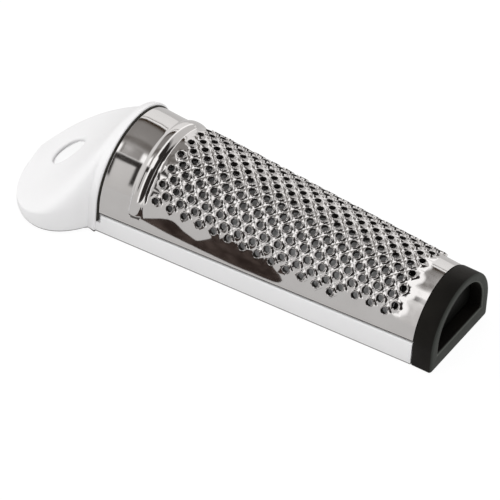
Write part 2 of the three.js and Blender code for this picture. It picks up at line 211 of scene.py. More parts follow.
# Painted light on the rubber's faces towards the foot, on the foot cap and on the seal
FOOT_PAINTED_LIGHT, SEAL_PAINTED_LIGHT = (0.031, 0.034, 0.03), (0.05, 0.048, 0.042)
DARK_ROOM = (0.03, 0.026, 0.024)
LESS_GREEN, LESS_BLUE = 0.015, 0.027

# Painted contact shadow, a grey line at the moulding's foot: where it begins and ends, and how much higher on
# the handle
CONTACT_SHADOW_LOW, CONTACT_SHADOW_TOP, CONTACT_SHADOW_RAISED = (0.01, 0.06), (0.5, 0.65), 0.35

# Painted highlight round the rim of the foot's pocket: its band, how far back it begins, its least share and
# where it is strongest
RIM_BAND, RIM_BACK = (0.02, 0.2, 0.35, 0.6), (1.2, 0.7)
RIM_LEAST, RIM_NEAR, RIM_HIGH = 0.35, (0, 5), (6, 9)

# Brightness of the floor to the camera and in the steel, and of the world to dull surfaces
FLOOR_LIFT = 0.92
FLOOR_MIRRORED = 0.51
FLOOR_MIRRORED_EAST = 0.5
FLOOR_EAST_M = (0.05, 0.12)
DIFFUSE_WORLD = 0.8
FLOOR_HALF_M = 3.0
FLOOR_DROP_M = 0.00005

# What the steel sees round the grater's length: degrees from the near horizon over the top, brightness
ROOM = ((0, 0.62), (45, 0.7), (60, 0.72), (61, 1.3), (74, 1.3), (80, 0.4), (86, 0.2), (92, 0.17))
ROOM += ((98, 0.3), (126, 0.27), (131, 0.17), (134.5, 0.03), (138.5, 0.03), (139.5, 1.2), (142.5, 1.2))
ROOM += ((143.5, 0.3), (145, 0.3), (146.5, 1.0), (180, 0.9))
BRIGHTEST = 1.3

# Zones of that room. Over is the angle from the near horizon in radians, east the direction's part towards
# the foot. Four numbers are a band: where it begins, is full, begins to fade and is gone
STRIP_OVER, STRIP_EAST, STRIP_LEVEL = (1.05, 1.07, 1.37, 1.41), (-0.4, -0.36, -0.262, -0.25), 0.3
HANDLE_END, HANDLE_END_LEVEL = (-0.8, -0.62), 0.85
FOOT_END = (-0.235, -0.19)
FAR_EAST, FAR_OVER, FAR_LEVEL = (-0.1, -0.04), (1.9, 2.1), 0.66
RAIL_OVER, RAIL_EAST = (0.84, 0.88, 1.0, 1.05), (-0.56, -0.46, -0.24, -0.2)
POST_OVER, POST_EAST = (0.2, 0.4, 0.95, 1.05), (-0.52, -0.46, -0.4, -0.34)
WINDOW_OVER, WINDOW_SHIFT = (1.0, 1.05, 1.32, 1.4), 0.24
CORNER_START, CORNER_END, CORNER_TOP = (-0.05, 0.02), (0.84, 0.92), (1.9, 2.2)

# The brown card's upper and lower edge, (x, height) corners, and its distance beside the middle
CARD_TOP = ((11.4, 6.8), (13.4, 8.6), (15.7, 10.5), (18, 12.3), (20.3, 13.6), (21.6, 13.9), (22.9, 13.4))
CARD_TOP += ((24.4, 12.2), (25.9, 10.7), (28.6, 8.8), (30.5, 7.7), (31.9, 9.3), (33.3, 11.2), (35.6, 14.3))
CARD_TOP += ((38, 15.4), (42, 16.1), (47, 15.8), (51, 14.6), (55, 12.5), (57.4, 10.2), (58.6, 7.8), (59, 5.6))
CARD_FOOT = ((11.4, 6.5), (15.1, 5.3), (20.4, 3.7), (25.7, 2.8), (30, 2.2), (36.2, 0.9), (42, 0.5))
CARD_FOOT += ((52.2, 0.2), (56, 0.7), (58, 2.4), (59, 5.0))
CARD_STEPS = 66
CARD_Y = -28.0

# Lamps: place and size in metres, power in watts
SOFTBOXES = {
    "overhead_softbox": ((-0.3, 0.2, 1.2), (1.2, 1.0), 1.8),
    "front_softbox": ((0.1, -0.75, 1.05), (1.0, 1.0), 1.7),
    "handle_softbox": ((-1.0, -0.6, 0.6), (0.8, 0.8), 3.0),
    "foot_softbox": ((1.2, -0.1, 0.4), (0.8, 0.8), 2.5),
}

# Camera that sees the grater as the photograph does
VIEW_AZIMUTH = radians(29.099)
VIEW_ELEVATION = radians(41.69)
VIEW_ROLL = radians(4.438)
VIEW_DISTANCE = 1728.4
VIEW_TARGET = (43.88, -4.42, 3.67)
FOCAL_PIXELS = 5854.0
PICTURE_PIXELS = 500
SENSOR = 36.0


def row_x(x):
    return (x + SHOULDER) * MM


def in_metres(sizes):
    return [size * MM for size in sizes]


def place(x, y, z):
    return (row_x(x), y * MM, z * MM)


def along(at_shoulder, at_foot):
    return lambda x: at_shoulder + (at_foot - at_shoulder) * x / FOOT_FRONT


radius_at = along(SHOULDER_RADIUS, FOOT_RADIUS)
spring_at = along(SHOULDER_SPRING, FOOT_SPRING)
rail_top_at = along(RAIL_TOP_SHOULDER, RAIL_TOP_FOOT)


def flange_bottom_at(x):
    return rail_top_at(x) + RUNNING_GAP


def lip_bottom_at(x):
    return flange_bottom_at(x) + SHEET + RUNNING_GAP


def flange_tip_at(x):
    return radius_at(x) - SHEET - FLANGE_WIDTH


# Meshes


def new_mesh(name, points, faces):
    mesh = bpy.data.meshes.new(name)
    mesh.from_pydata(points, [], faces)
    return mesh


def new_object(name, data):
    made = bpy.data.objects.new(name, data)
    bpy.context.scene.collection.objects.link(made)
    return made


def finish_mesh(mesh, hard_edge=HARD_EDGE):
    """Points welded, faces turned outward, shaded smooth but for the hard edges."""
    work = bmesh.new()
    work.from_mesh(mesh)
    bmesh.ops.remove_doubles(work, verts=work.verts, dist=1e-6)
    bmesh.ops.recalc_face_normals(work, faces=work.faces)
    work.to_mesh(mesh)
    work.free()
    mesh.shade_smooth()
    mesh.set_sharp_from_angle(angle=hard_edge)


def rings_to_faces(ring_count, ring_size, closed_sweep=False):
    """Quads between closed rings of points that are stored one after the other."""
    faces = []
    for r in range(ring_count if closed_sweep else ring_count - 1):
        a, b = r * ring_size, (r + 1) % ring_count * ring_size
        for n in range(ring_size):
            m = (n + 1) % ring_size
            faces.append((a + n, a + m, b + m, b + n))
    return faces


def swept_piece(name, rings, closed_sweep=False):
    """A closed piece over a row of closed rings in the shoulder's frame. Open ends are capped."""
    size = len(rings[0])
    faces = rings_to_faces(len(rings), size, closed_sweep)
    if not closed_sweep:
        last = (len(rings) - 1) * size
        faces += [tuple(range(size)), tuple(range(last, last + size))]
    mesh = new_mesh(name, [place(*p) for ring in rings for p in ring], faces)
    finish_mesh(mesh)
    return new_object(name, mesh)


def ring_at(x, outline):
    return [(x, y, z) for y, z in outline]


def spaced(start, end, count):
    return [start + (end - start) * n / count for n in range(count + 1)]


def quarter_turn(count=ROUND_STEPS):
    return spaced(0, pi / 2, count)


def rounding(count=ROUND_STEPS):
    """Points of a rounding of radius 1, as distances from the faces that it leaves and meets."""
    return [(1 - cos(turned), 1 - sin(turned)) for turned in quarter_turn(count)]


def fall_of_rounding(into, radius):
    """How far a face has fallen away, a distance into its rounded edge."""
    share = min(max(into / radius, 0), 1)
    return radius * (1 - sqrt(1 - share**2))


def rounded_corner(corner, toward_a, toward_b, radius, steps=4):
    """Points of a rounded corner in the plane, from the side of a to the side of b."""
    c = Vector(corner)
    a = (Vector(toward_a) - c).normalized()
    b = (Vector(toward_b) - c).normalized()
    opening = a.angle(b)
    setback = radius / tan(opening / 2)
    centre = c + (a + b).normalized() * radius / sin(opening / 2)
    start, end = c + a * setback - centre, c + b * setback - centre
    turned = []
    for angle in spaced(0, -start.angle_signed(end), steps):
        x = start.x * cos(angle) - start.y * sin(angle)
        y = start.x * sin(angle) + start.y * cos(angle)
        turned.append((centre.x + x, centre.y + y))
    return turned


def rounded_loop(*corners):
    """Points round a closed loop of (y, z) corners. A rounded one has its radius, and maybe steps, behind."""
    points = []
    for before, corner, after in zip(corners[-1:] + corners, corners, corners[1:] + corners[:1]):
        rounded = len(corner) > 2
        points += rounded_corner(corner[:2], before[:2], after[:2], *corner[2:]) if rounded else [corner]
    return points


def arch(half, spring):
    """A half circle over the springing line: (y, z) points."""
    turns = spaced(0, pi, ARCH_STEPS)
    return [(half * cos(turned), spring + half * sin(turned)) for turned in turns]


def arch_outline(half, spring, bottom, corner):
    """A closed arch on upright sides, its two lower corners rounded: (y, z) points."""
    low_left, low_right = (-half, bottom, corner), (half, bottom, corner)
    return rounded_loop((-half, spring), low_left, low_right, (half, spring))[1:-1] + arch(half, spring)


def arch_strip(name, section, foot, at):
    """A strip bent over the body, from foot to foot: section is a closed loop of (x, offset) points."""
    paths = {}
    for _, offset in section:
        half = radius_at(at) + offset
        paths[offset] = [(half, foot), *arch(half, spring_at(at)), (-half, foot)]
    rings = [[(x, *paths[offset][n]) for x, offset in section] for n in range(ARCH_STEPS + 3)]
    return swept_piece(name, rings)


def boolean(piece, other, operation):
    cut = piece.modifiers.new("boolean", "BOOLEAN")
    cut.operation = operation
    cut.solver = "EXACT"
    cut.object = other
    apply_modifiers(piece)
    bpy.data.objects.remove(other)


def apply_modifiers(piece):
    """The piece keeps what its modifiers make of it, as a plain mesh."""
    bpy.context.view_layer.update()
    depsgraph = bpy.context.evaluated_depsgraph_get()
    mesh = bpy.data.meshes.new_from_object(piece.evaluated_get(depsgraph))
    piece.modifiers.clear()
    piece.data = mesh


# Handle and tray


def hood_half(x):
    """Half the hood's width: an oval that is blunt at the tail, and a collar at the shoulder."""
    if x >= -HOOD_COLLAR:
        return COLLAR_HALF - fall_of_rounding(x + COLLAR_ROUND, COLLAR_ROUND)
    from_widest = x - HOOD_WIDEST
    if from_widest > 0:
        ahead = (-HOOD_WIDEST - HOOD_COLLAR) / sqrt(1 - (COLLAR_HALF / HOOD_HALF) ** 2)
        return HOOD_HALF * sqrt(1 - (from_widest / ahead) ** 2)
    blunt = (HOOD_TAIL_HALF / HOOD_HALF) ** 2
    back = from_widest / (HOOD_WIDEST - TAIL)
    return HOOD_HALF * sqrt(max(1 - (1 - blunt) * back**2, blunt))


def way_up_hood(x):
    """0 at the tail, 1 at the collar, with a soft bend where the collar begins."""
    way = max((x - TAIL) / (-TAIL - HOOD_COLLAR), 0)
    past = min(max(way - 1 + COLLAR_SOFT, 0), 2 * COLLAR_SOFT)
    return min(way, 1 + COLLAR_SOFT) - past**2 / (4 * COLLAR_SOFT)


def hood_height(x, y):
    """Height of the hood's upper face over a point of its plan. A section is half an ellipse at the collar
    and flatter at its sides towards the tail."""
    crown = SHOULDER_SPRING + COLLAR_HALF
    way = way_up_hood(x)
    top = HOOD_TAIL_TOP + (crown - HOOD_TAIL_TOP) * way**HOOD_RISE
    spring = HOOD_TAIL_SPRING + (SHOULDER_SPRING - HOOD_TAIL_SPRING) * way**HOOD_SPRING_RISE
    across = min(abs(y) / hood_half(x), 1)
    bow = 0.5 + HOOD_SOFTER * (1 - way) ** 2
    height = spring + (top - spring) * (1 - across**2) ** bow
    return height - fall_of_rounding(x + HOOD_EDGE_ROUND, HOOD_EDGE_ROUND)


def hood_underside(x, y):
    """Height of the hollow's ceiling, a wall under the upper face, measured square to it."""
    step = 0.05
    slope_x = (hood_height(x + step, y) - hood_height(x - step, y)) / (2 * step)
    slope_y = (hood_height(x, y + step) - hood_height(x, y - step)) / (2 * step)
    drop = HOOD_WALL * sqrt(1 + slope_x**2 + slope_y**2)
    return max(hood_height(x, y) - drop, HOOD_RIM / 3)


def hood_plan():
    """The hood's plan outline: round the oval and back along the shoulder, with outward directions."""
    turns = quarter_turn(64)
    oval = [HOOD_WIDEST + (TAIL - HOOD_WIDEST) * sin(turned) for turned in turns]
    stations = [COLLAR_ROUND * (sin(turned) - 1) for turned in reversed(quarter_turn(5)[1:])]
    stations += spaced(-COLLAR_ROUND, HOOD_WIDEST, 24)[:-1] + oval
    side = [(x, hood_half(x)) for x in stations] + [(TAIL, HOOD_TAIL_HALF / 2)]
    outline = [(x, -y) for x, y in side] + [(TAIL, 0)] + list(reversed(side))
    shoulder = [(0, y) for y in spaced(hood_half(0), -hood_half(0), 40)[1:-1]]
    directions = []
    for n, (x, y) in enumerate(outline):
        before, after = outline[max(n - 1, 0)], outline[min(n + 1, len(outline) - 1)]
        run = Vector((after[0] - before[0], after[1] - before[1])).normalized()
        directions.append(Vector((0, copysign(1, y)) if x > -HOOD_COLLAR else (-run.y, run.x)))
    return outline, directions, shoulder


def hollow_edge(boundary, outward, at_shoulder):
    """The place in plan where the hollow's wall stands, behind a point of the hood's outline."""
    behind_collar = COLLAR_HALF - HOOD_WALL
    if at_shoulder:
        return Vector((-BULKHEAD, boundary.y * behind_collar / hood_half(0)))
    if boundary.x > -HOOD_COLLAR:
        return Vector((min(boundary.x, -BULKHEAD), copysign(behind_collar, boundary.y)))
    return boundary - outward * HOOD_WALL


def upper_profile(boundary, outward, ray, hole):
    """Points up the hang hole's wall, out over the upper face and down the rim."""
    profile = []
    for away, below in rounding():
        x, y = HANG_HOLE + ray * (hole + HANG_HOLE_ROUND * away)
        profile.append((x, y, hood_height(x, y) - HANG_HOLE_ROUND * below))
    start, reach = hole + HANG_HOLE_ROUND, (boundary - HANG_HOLE).length
    for turned in quarter_turn(40)[1:]:
        x, y = HANG_HOLE + ray * (start + (reach - start) * sin(turned))
        profile.append((x, y, hood_height(x, y)))
    rim = min(HOOD_RIM, 0.95 * hood_height(*boundary))
    rim_inset = HOOD_RIM_INSET * min(-boundary.x / HOOD_COLLAR, 1)
    for inset, above in rounding():
        x, y = boundary - outward * rim_inset * inset
        profile.append((x, y, rim * above))
    return profile


def hollow_profile(inner, hole):
    """Points up the hollow's wall and back along its ceiling to the hang hole, where it is thinner."""
    ray = inner - HANG_HOLE
    profile = [(*inner, 0)]
    for turned in reversed(quarter_turn(24)):
        past_hole = (ray.length - hole) * sin(turned)
        x, y = HANG_HOLE + ray.normalized() * (hole + past_hole)
        thinned = HOLE_THINNED * max(1 - past_hole / HOLE_THINNED_REACH, 0)
        highest = hood_height(x, y) - HANG_HOLE_ROUND - HOLE_LEAST_EDGE
        profile.append((x, y, min(hood_underside(x, y) + thinned, highest)))
    return profile


def hood():
    """The hood as one closed grid of profiles round the hang hole."""
    outline, directions, shoulder = hood_plan()
    edge = [(Vector(p), d, False) for p, d in zip(outline, directions)]
    edge += [(Vector(p), Vector((1, 0)), True) for p in shoulder]
    profiles = []
    for boundary, outward, at_shoulder in edge:
        ray = (boundary - HANG_HOLE).normalized()
        hole = 1 / hypot(ray.x / HANG_HOLE_HALF_X, ray.y / HANG_HOLE_HALF_Y)
        hollow = hollow_profile(hollow_edge(boundary, outward, at_shoulder), hole)
        profiles.append(upper_profile(boundary, outward, ray, hole) + hollow)
    return swept_piece("handle_tray_white", profiles, closed_sweep=True)


def tray_outline(x):
    outer = radius_at(x) + RAIL_PROUD
    top = rail_top_at(x)
    upstand_outer = flange_tip_at(x) - RUNNING_GAP
    upstand_inner = upstand_outer - UPSTAND_WALL
    lip_outer = flange_tip_at(x) + LIP_REACH
    lip_low = lip_bottom_at(x)
    lip_top = lip_low + LIP_THICKNESS
    rail_inner = outer - RAIL_WALL
    rail_low = top - RAIL_WALL
    half = rounded_loop(
        (upstand_inner, 0), (upstand_outer, 0), (upstand_outer, rail_low),
        (rail_inner, rail_low), (rail_inner, 0), (outer, 0, RAIL_FOOT_ROUND),
        (outer, top, RAIL_ROUND, ROUND_STEPS), (upstand_outer, top), (upstand_outer, lip_low),
        (lip_outer, lip_low, LIP_ROUND), (lip_outer, lip_top, LIP_ROUND), (upstand_inner, lip_top, LIP_ROUND),
        (upstand_inner, FLOOR_THICKNESS, RAIL_ROUND), (0, FLOOR_THICKNESS),
    )[:-1]
    return half + [(-y, z) for y, z in reversed(half)]


def box_piece(name, x0, x1, y0, y1, z0, z1):
    ring = [(y0, z0), (y1, z0), (y1, z1), (y0, z1)]
    return swept_piece(name, [ring_at(x, ring) for x in (x0, x1)])


def spigot():
    outer = -SHEET - RUNNING_GAP
    inner = outer - SPIGOT_WALL
    foot = lip_bottom_at(0) + LIP_THICKNESS / 2
    loop = [(-BULKHEAD / 2, inner), (-BULKHEAD / 2, outer), (SPIGOT_LENGTH - LIP_ROUND, outer)]
    loop += [(SPIGOT_LENGTH, outer - LIP_ROUND), (SPIGOT_LENGTH, inner)]
    return arch_strip("spigot", loop, foot, SPIGOT_LENGTH)


def handle_tray():
    tray = swept_piece("tray", [ring_at(x, tray_outline(x)) for x in (-TRAY_ROOT, SHELL_END)])
    slot_depth = SHELL_START + RUNNING_GAP
    top = lip_bottom_at(0) + LIP_THICKNESS + CUT_PAST
    seal_inner = radius_at(SPIGOT_LENGTH) - SHEET - RUNNING_GAP
    for side in (-1, 1):
        y0, y1 = sorted((side * seal_inner, side * (COLLAR_HALF + CUT_PAST)))
        slot = box_piece("slot", -SEAT_GAP, slot_depth, y0, y1, SEAL_FOOT - SEAT_GAP, top)
        boolean(tray, slot, "DIFFERENCE")
    half = POCKET_RADIUS
    neck = box_piece("neck", TRAY_END, FOOT_BACK, -half, half, -CUT_PAST, top + 2 * CUT_PAST)
    boolean(tray, neck, "DIFFERENCE")
    boolean(tray, spigot(), "UNION")
    whole = hood()
    boolean(whole, tray, "UNION")
    finish_mesh(whole.data)
    return whole


# Seal and rubber foot


def shoulder_seal():
    inner = -SHEET - RUNNING_GAP + SEAT_GAP - (radius_at(0) - radius_at(SPIGOT_LENGTH))
    top = (SEAL_PROUD, SEAL_ROUND, 3)
    section = rounded_loop((SEAL_START, inner), (SEAL_END, inner), (SEAL_END, *top), (SEAL_START, *top))
    return arch_strip("shoulder_seal_black", section, SEAL_FOOT, 0)


def rubber_foot():
    """The foot as one closed ring: round its outer skin, over the front face and back along the pocket."""
    outer_half = radius_at(FOOT_FRONT) + FOOT_PROUD
    groove_back = PLATE_FRONT - PLATE_GROOVE

    def outer(x, inset):
        return ring_at(x, arch_outline(outer_half - inset, FOOT_SPRING, inset, FOOT_CORNER))

    def pocket(x, grow):
        half, bottom = POCKET_RADIUS + grow, POCKET_FLOOR - grow
        return ring_at(x, arch_outline(half, POCKET_SPRING, bottom, POCKET_CORNER))

    back, front, edge = FOOT_BACK_ROUND, FOOT_TIP_ROUND, POCKET_ROUND
    rings = [outer(FOOT_BACK + back * away, back * inset) for away, inset in rounding(3)]
    rings += [outer(FOOT_FRONT - front * away, front * inset) for inset, away in rounding()]
    rings += [pocket(FOOT_FRONT - edge * away, edge * grow) for away, grow in rounding()]
    for x, grow in ((PLATE_FRONT, 0), (PLATE_FRONT, PLATE_GRIP), (groove_back, PLATE_GRIP), (groove_back, 0)):
        rings.append(pocket(x, grow))
    rings.append(pocket(FOOT_BACK, 0))
    return swept_piece("foot_cap_rubber", rings, closed_sweep=True)


# Grating shell. It is drawn flat, as (station at the crown, distance across, lift off the outer face), and
# a node tree sets the burrs into it and rolls it up.

CONE = atan2(SHOULDER_RADIUS - FOOT_RADIUS, FOOT_FRONT)
SLANT = SHOULDER_RADIUS / sin(CONE)


def unroll(x, arc):
    """The flat place of a point at station x, an arc length away from the crown."""
    slant = SLANT - x / cos(CONE)
    turned = arc / radius_at(x) * sin(CONE)
    return (SLANT - slant * cos(turned)) * cos(CONE), slant * sin(turned)


def roll(station, across):
    """The station and arc length of a flat place."""
    to_apex = SLANT - station / cos(CONE)
    slant = hypot(to_apex, across)
    x = (SLANT - slant) * cos(CONE)
    return x, atan2(across, to_apex) / sin(CONE) * radius_at(x)


def edge_arc(x):
    """Arc length from the crown to the fold above the rail."""
    radius = radius_at(x)
    drop = spring_at(x) - flange_bottom_at(x)
    return radius * pi / 2 + drop if drop > 0 else radius * acos(-drop / radius)


def bead_lift(x, arc):
    past_end = max(abs(arc) - BEAD_ARC, 0)
    away = hypot(x - BEAD_X, past_end)
    risen = max(1 - max(away - BEAD_HALF, 0) / BEAD_SKIRT, 0)
    skirt = SKIRT_HEIGHT * risen**2 if x < BEAD_X else 0.0
    return max(skirt, BEAD_HEIGHT * (1 - min(away / BEAD_HALF, 1) ** BEAD_FLATNESS) ** BEAD_FULLNESS)


def mouth_drop(x):
    return fall_of_rounding(MOUTH + MOUTH_ROUND - x, MOUTH_ROUND)


class FlatSheet:
    """The flat sheet's net. Each point has a place on the outer and one on the inner face."""

    def __init__(self):
        self.outer, self.inner, self.faces, self.opening, self.sites = [], [], [], set(), []

    def add(self, outer, inner=None):
        self.outer.append(outer)
        self.inner.append(inner or (outer[0], outer[1], outer[2] - SHEET))
        return len(self.outer) - 1

    def add_at(self, x, arc):
        flat, lift = unroll(x, arc), bead_lift(x, arc)
        return self.add((*flat, lift - mouth_drop(x)), (*flat, lift - SHEET))

    def face(self, *corners):
        kept = [c for n, c in enumerate(corners) if c != corners[(n + 1) % len(corners)]]
        if len(kept) > 2:
            self.faces.append(tuple(kept))

    def strip(self, right, left):
        """Faces between two rows of points. A row may have twice as many steps as the other."""
        if len(left) == len(right):
            for n in range(len(right) - 1):
                self.face(right[n], right[n + 1], left[n + 1], left[n])
            return
        few, many = sorted((right, left), key=len)
        for n in range(len(few) - 1):
            (p, q), (s, t, u) = few[n:n + 2], many[2 * n:2 * n + 3]
            for a, b, c in ((p, t, s), (p, q, t), (q, u, t)):
                self.face(*((a, b, c) if few is right else (a, c, b)))

    def stitch(self, stations):
        """Faces between stations, each a (low margin, middle, high margin), from the handle on."""
        for near, far in zip(stations, stations[1:]):
            self.strip([*far[0][::-1], far[1][0]], [*near[0][::-1], near[1][0]])
            self.strip(far[1], near[1])
            self.strip([far[1][-1], *far[2]], [near[1][-1], *near[2]])

    def mesh(self, name):
        count = len(self.outer)
        faces = list(self.faces)
        edges = set()
        for face in self.faces:
            faces.append(tuple(count + c for c in reversed(face)))
            edges.update((face[n], face[(n + 1) % len(face)]) for n in range(len(face)))
        for a, b in edges:
            if (b, a) not in edges and not (a in self.opening and b in self.opening):
                faces.append((b, a, count + a, count + b))
        points = self.outer + self.inner + self.sites
        mesh = new_mesh(name, [tuple(c * MM for c in p) for p in points], faces)
        burr = mesh.attributes.new("burr", "BOOLEAN", "POINT")
        burr.data.foreach_set("value", [n >= 2 * count for n in range(len(points))])
        return mesh


AROUND = ((1, 0), (0.5, 0.5), (0, 1), (-0.5, 0.5), (-1, 0), (-0.5, -0.5), (0, -1), (0.5, -0.5))


def burr_ring(radius):
    turns = [2 * pi * n / BURR_SIDES for n in range(BURR_SIDES)]
    return [(radius * cos(t), radius * sin(t)) for t in turns]


def margin_points(sheet, x, arc):
    """Points from the hole field's border down to the fold, round it and in along the flange."""
    side = copysign(1, arc)
    edge = edge_arc(x)
    turn_start = edge - FOLD_RADIUS
    points = [sheet.add_at(x, side * down) for down in spaced(abs(arc), turn_start, 14)[1:]]
    inner_radius = FOLD_RADIUS - SHEET
    for angle in quarter_turn(4)[1:]:
        low, deep = sin(angle), 1 - cos(angle)
        outer_lift = -FOLD_RADIUS * deep - mouth_drop(x) * cos(angle)
        outer = (*unroll(x, side * (turn_start + FOLD_RADIUS * low)), outer_lift)
        inner = (*unroll(x, side * (turn_start + inner_radius * low)), -SHEET - inner_radius * deep)
        points.append(sheet.add(outer, inner))
    tip = -SHEET - FLANGE_WIDTH
    bottom, top = unroll(x, side * edge), unroll(x, side * (edge - SHEET))
    points.append(sheet.add((*bottom, tip), (*top, tip)))
    return points


def lattice_place(column, row):
    return FIRST_HOLE + column * HALF_PITCH_ALONG, row * HALF_PITCH_ACROSS


def is_punched(column, row):
    x, arc = roll(*lattice_place(column, row))
    within = -1 < column < HOLE_COLUMNS and abs(row) < FIELD_EDGE
    return within and edge_arc(x) - abs(arc) >= HOLE_TO_EDGE


def lattice_lift(column, row):
    """The sheet is drawn up where two burrs meet and stays low between four."""
    if column == int(column):
        return 0.0
    beside = [(column + a, row + b) for a in (-0.5, 0.5) for b in (-0.5, 0.5)]
    return BURR_RAISE * sum(is_punched(c, r) for c, r in beside if (c + r) % 2 == 0) / 2


def open_cell(sheet, column, row, corner):
    """A punched cell leaves a round opening for its burr inside its eight corners."""
    station, across = lattice_place(column, row)
    sheet.sites.append((station, across, 0.0))
    ring = [sheet.add((station + u, across + v, BURR_RAISE)) for u, v in burr_ring(BURR_FOOT)]
    sheet.opening.update(ring)
    quarter = BURR_SIDES // 4
    for q in range(4):
        a, b, c = (corner(2 * q + k) for k in range(3))
        r = [ring[(q * quarter + k) % BURR_SIDES] for k in range(quarter + 1)]
        for triangle in ((a, r[1], r[0]), (a, b, r[1]), (b, r[2], r[1]), (b, c, r[2]), (c, r[3], r[2])):
            sheet.face(*triangle)


def hole_field(sheet):
    """The lattice of diamond cells, and a function that gives the sheet's point at a lattice place."""
    made = {}

    def point(column, row):
        if (column, row) not in made:
            made[column, row] = sheet.add((*lattice_place(column, row), lattice_lift(column, row)))
        return made[column, row]

    def inside(column, row):
        return -1 <= column <= HOLE_COLUMNS and abs(row) <= FIELD_EDGE

    for column in range(-1, HOLE_COLUMNS + 1):
        for row in range(-FIELD_EDGE, FIELD_EDGE + 1):
            if (column + row) % 2:
                continue
            ends = [(column + a, row + b) for a, b in AROUND]
            if is_punched(column, row):
                open_cell(sheet, column, row, lambda n: point(*ends[n % len(ends)]))
                continue
            for n, end in enumerate(ends):
                after = ends[(n + 1) % len(ends)]
                if inside(*end) and inside(*after):
                    sheet.face(point(column, row), point(*end), point(*after))
    return point


def side_margins(sheet, point, side):
    """The margin below one side of the field, a row of points for each column."""
    rows = []
    for column in range(-1, HOLE_COLUMNS + 1):
        start = point(column, side * FIELD_EDGE)
        rows.append([start, *margin_points(sheet, *roll(*sheet.outer[start][:2]))])
    for before, after in zip(rows, rows[1:]):
        sheet.strip(*((after, before) if side > 0 else (before, after)))
    return rows


def plain_station(sheet, x, field_x):
    """Points across the sheet beside the field, spread as on the field's border at field_x."""
    step = HALF_PITCH_ACROSS / 2 * edge_arc(x) / edge_arc(field_x)
    arcs = [step * n for n in range(-2 * FIELD_EDGE, 2 * FIELD_EDGE + 1)]
    low = margin_points(sheet, x, arcs[0])
    high = margin_points(sheet, x, arcs[-1])
    return low, [sheet.add_at(x, arc) for arc in arcs], high


def flat_shell():
    """The flat sheet: the field of holes, its margins, the bead towards the handle and the plain far end."""
    sheet = FlatSheet()
    point = hole_field(sheet)
    low_margin, high_margin = (side_margins(sheet, point, side) for side in (-1, 1))

    def field_station(column, index):
        field = [point(column, row) for row in range(-FIELD_EDGE, FIELD_EDGE + 1)]
        return low_margin[index][1:], field, high_margin[index][1:]

    bead_start, bead_end = BEAD_X - BEAD_HALF, BEAD_X + BEAD_HALF
    stations = [MOUTH + MOUTH_ROUND * away for away, _ in rounding(4)]
    stations += spaced(MOUTH + MOUTH_ROUND, bead_start - BEAD_SKIRT, 4)[1:]
    stations += spaced(bead_start - BEAD_SKIRT, bead_start, 8)[1:]
    stations += spaced(bead_start, bead_end, 16)[1:]
    stations.append((bead_end + FIELD_START) / 2)
    sheet.stitch([plain_station(sheet, x, FIELD_START) for x in stations] + [field_station(-1, 0)])
    far_stations = spaced(FIELD_END, SHELL_END, 3)[1:]
    far = [plain_station(sheet, x, FIELD_END) for x in far_stations]
    sheet.stitch([field_station(HOLE_COLUMNS, -1), *far])
    return sheet.mesh("grating_shell_steel")


def burr_mesh():
    """One burr: up its drawn flank to a thin lip and down inside. Attribute lip is 1 at the lip."""
    rings = [(BURR_FOOT, BURR_RAISE, 0), *BURR_FLANK, *BURR_BORE, (BURR_FOOT, BURR_RAISE - SHEET, 0)]
    points = [(u * MM, v * MM, z * MM) for radius, z, _ in rings for u, v in burr_ring(radius)]
    mesh = new_mesh("burr", points, rings_to_faces(len(rings), BURR_SIDES))
    lip = mesh.attributes.new("lip", "FLOAT", "POINT")
    lip.data.foreach_set("value", [share for _, _, share in rings for _ in range(BURR_SIDES)])
    return mesh


# Node trees


class Number:
    """A number in a node tree. Operators on it add Math nodes."""

    def __init__(self, tree, socket):
        self.tree, self.socket = tree, socket

    def math(self, operation, *others):
        inputs = dict(enumerate((self, *others)))
        return self.tree.number("ShaderNodeMath", inputs, operation=operation)

    def __add__(self, other):
        return self.math("ADD", other)

    def __sub__(self, other):
        return self.math("SUBTRACT", other)

    def __rsub__(self, other):
        return (self * -1) + other

    def __mul__(self, other):
        return self.math("MULTIPLY", other)

    def __truediv__(self, other):
        return self.math("DIVIDE", other)

    __radd__, __rmul__ = __add__, __mul__

    def between(self, low, high):
        """0 below low, 1 above high, smooth between."""
        inputs = {"Value": self, "From Min": low, "From Max": high}
        return self.tree.number("ShaderNodeMapRange", inputs, interpolation_type="SMOOTHSTEP")

    def band(self, low, full, fading, gone):
        """1 from full to fading, 0 below low and above gone, smooth between."""
        return self.between(low, full) * (1 - self.between(fading, gone))

    def toward(self, target, share):
        return self + (target - self) * share


class Tree:
    """A node tree, with one method that adds a node and short forms for its outputs."""

    def __init__(self, tree):
        self.tree = tree

    def node(self, kind, inputs=None, stops=None, **settings):
        made = self.tree.nodes.new(kind)
        for name, value in settings.items():
            setattr(made, name, value)
        if stops:
            ramp = made.color_ramp
            while len(ramp.elements) < len(stops):
                ramp.elements.new(1.0)
            for element, (position, color) in zip(ramp.elements, stops):
                element.position = position
                element.color = color
        for key, value in (inputs or {}).items():
            if isinstance(value, Number):
                value = value.socket
            if isinstance(value, bpy.types.NodeSocket):
                self.tree.links.new(value, made.inputs[key])
            else:
                made.inputs[key].default_value = value
        return made

    def first(self, kind, inputs=None, **settings):
        return self.node(kind, inputs, **settings).outputs[0]

    def number(self, kind, inputs, **settings):
        return Number(self, self.first(kind, inputs, **settings))

    def parts(self, vector):
        return [Number(self, part) for part in self.node("ShaderNodeSeparateXYZ", {0: vector}).outputs]

    def own_place(self):
        return self.node("ShaderNodeTexCoord").outputs["Object"]


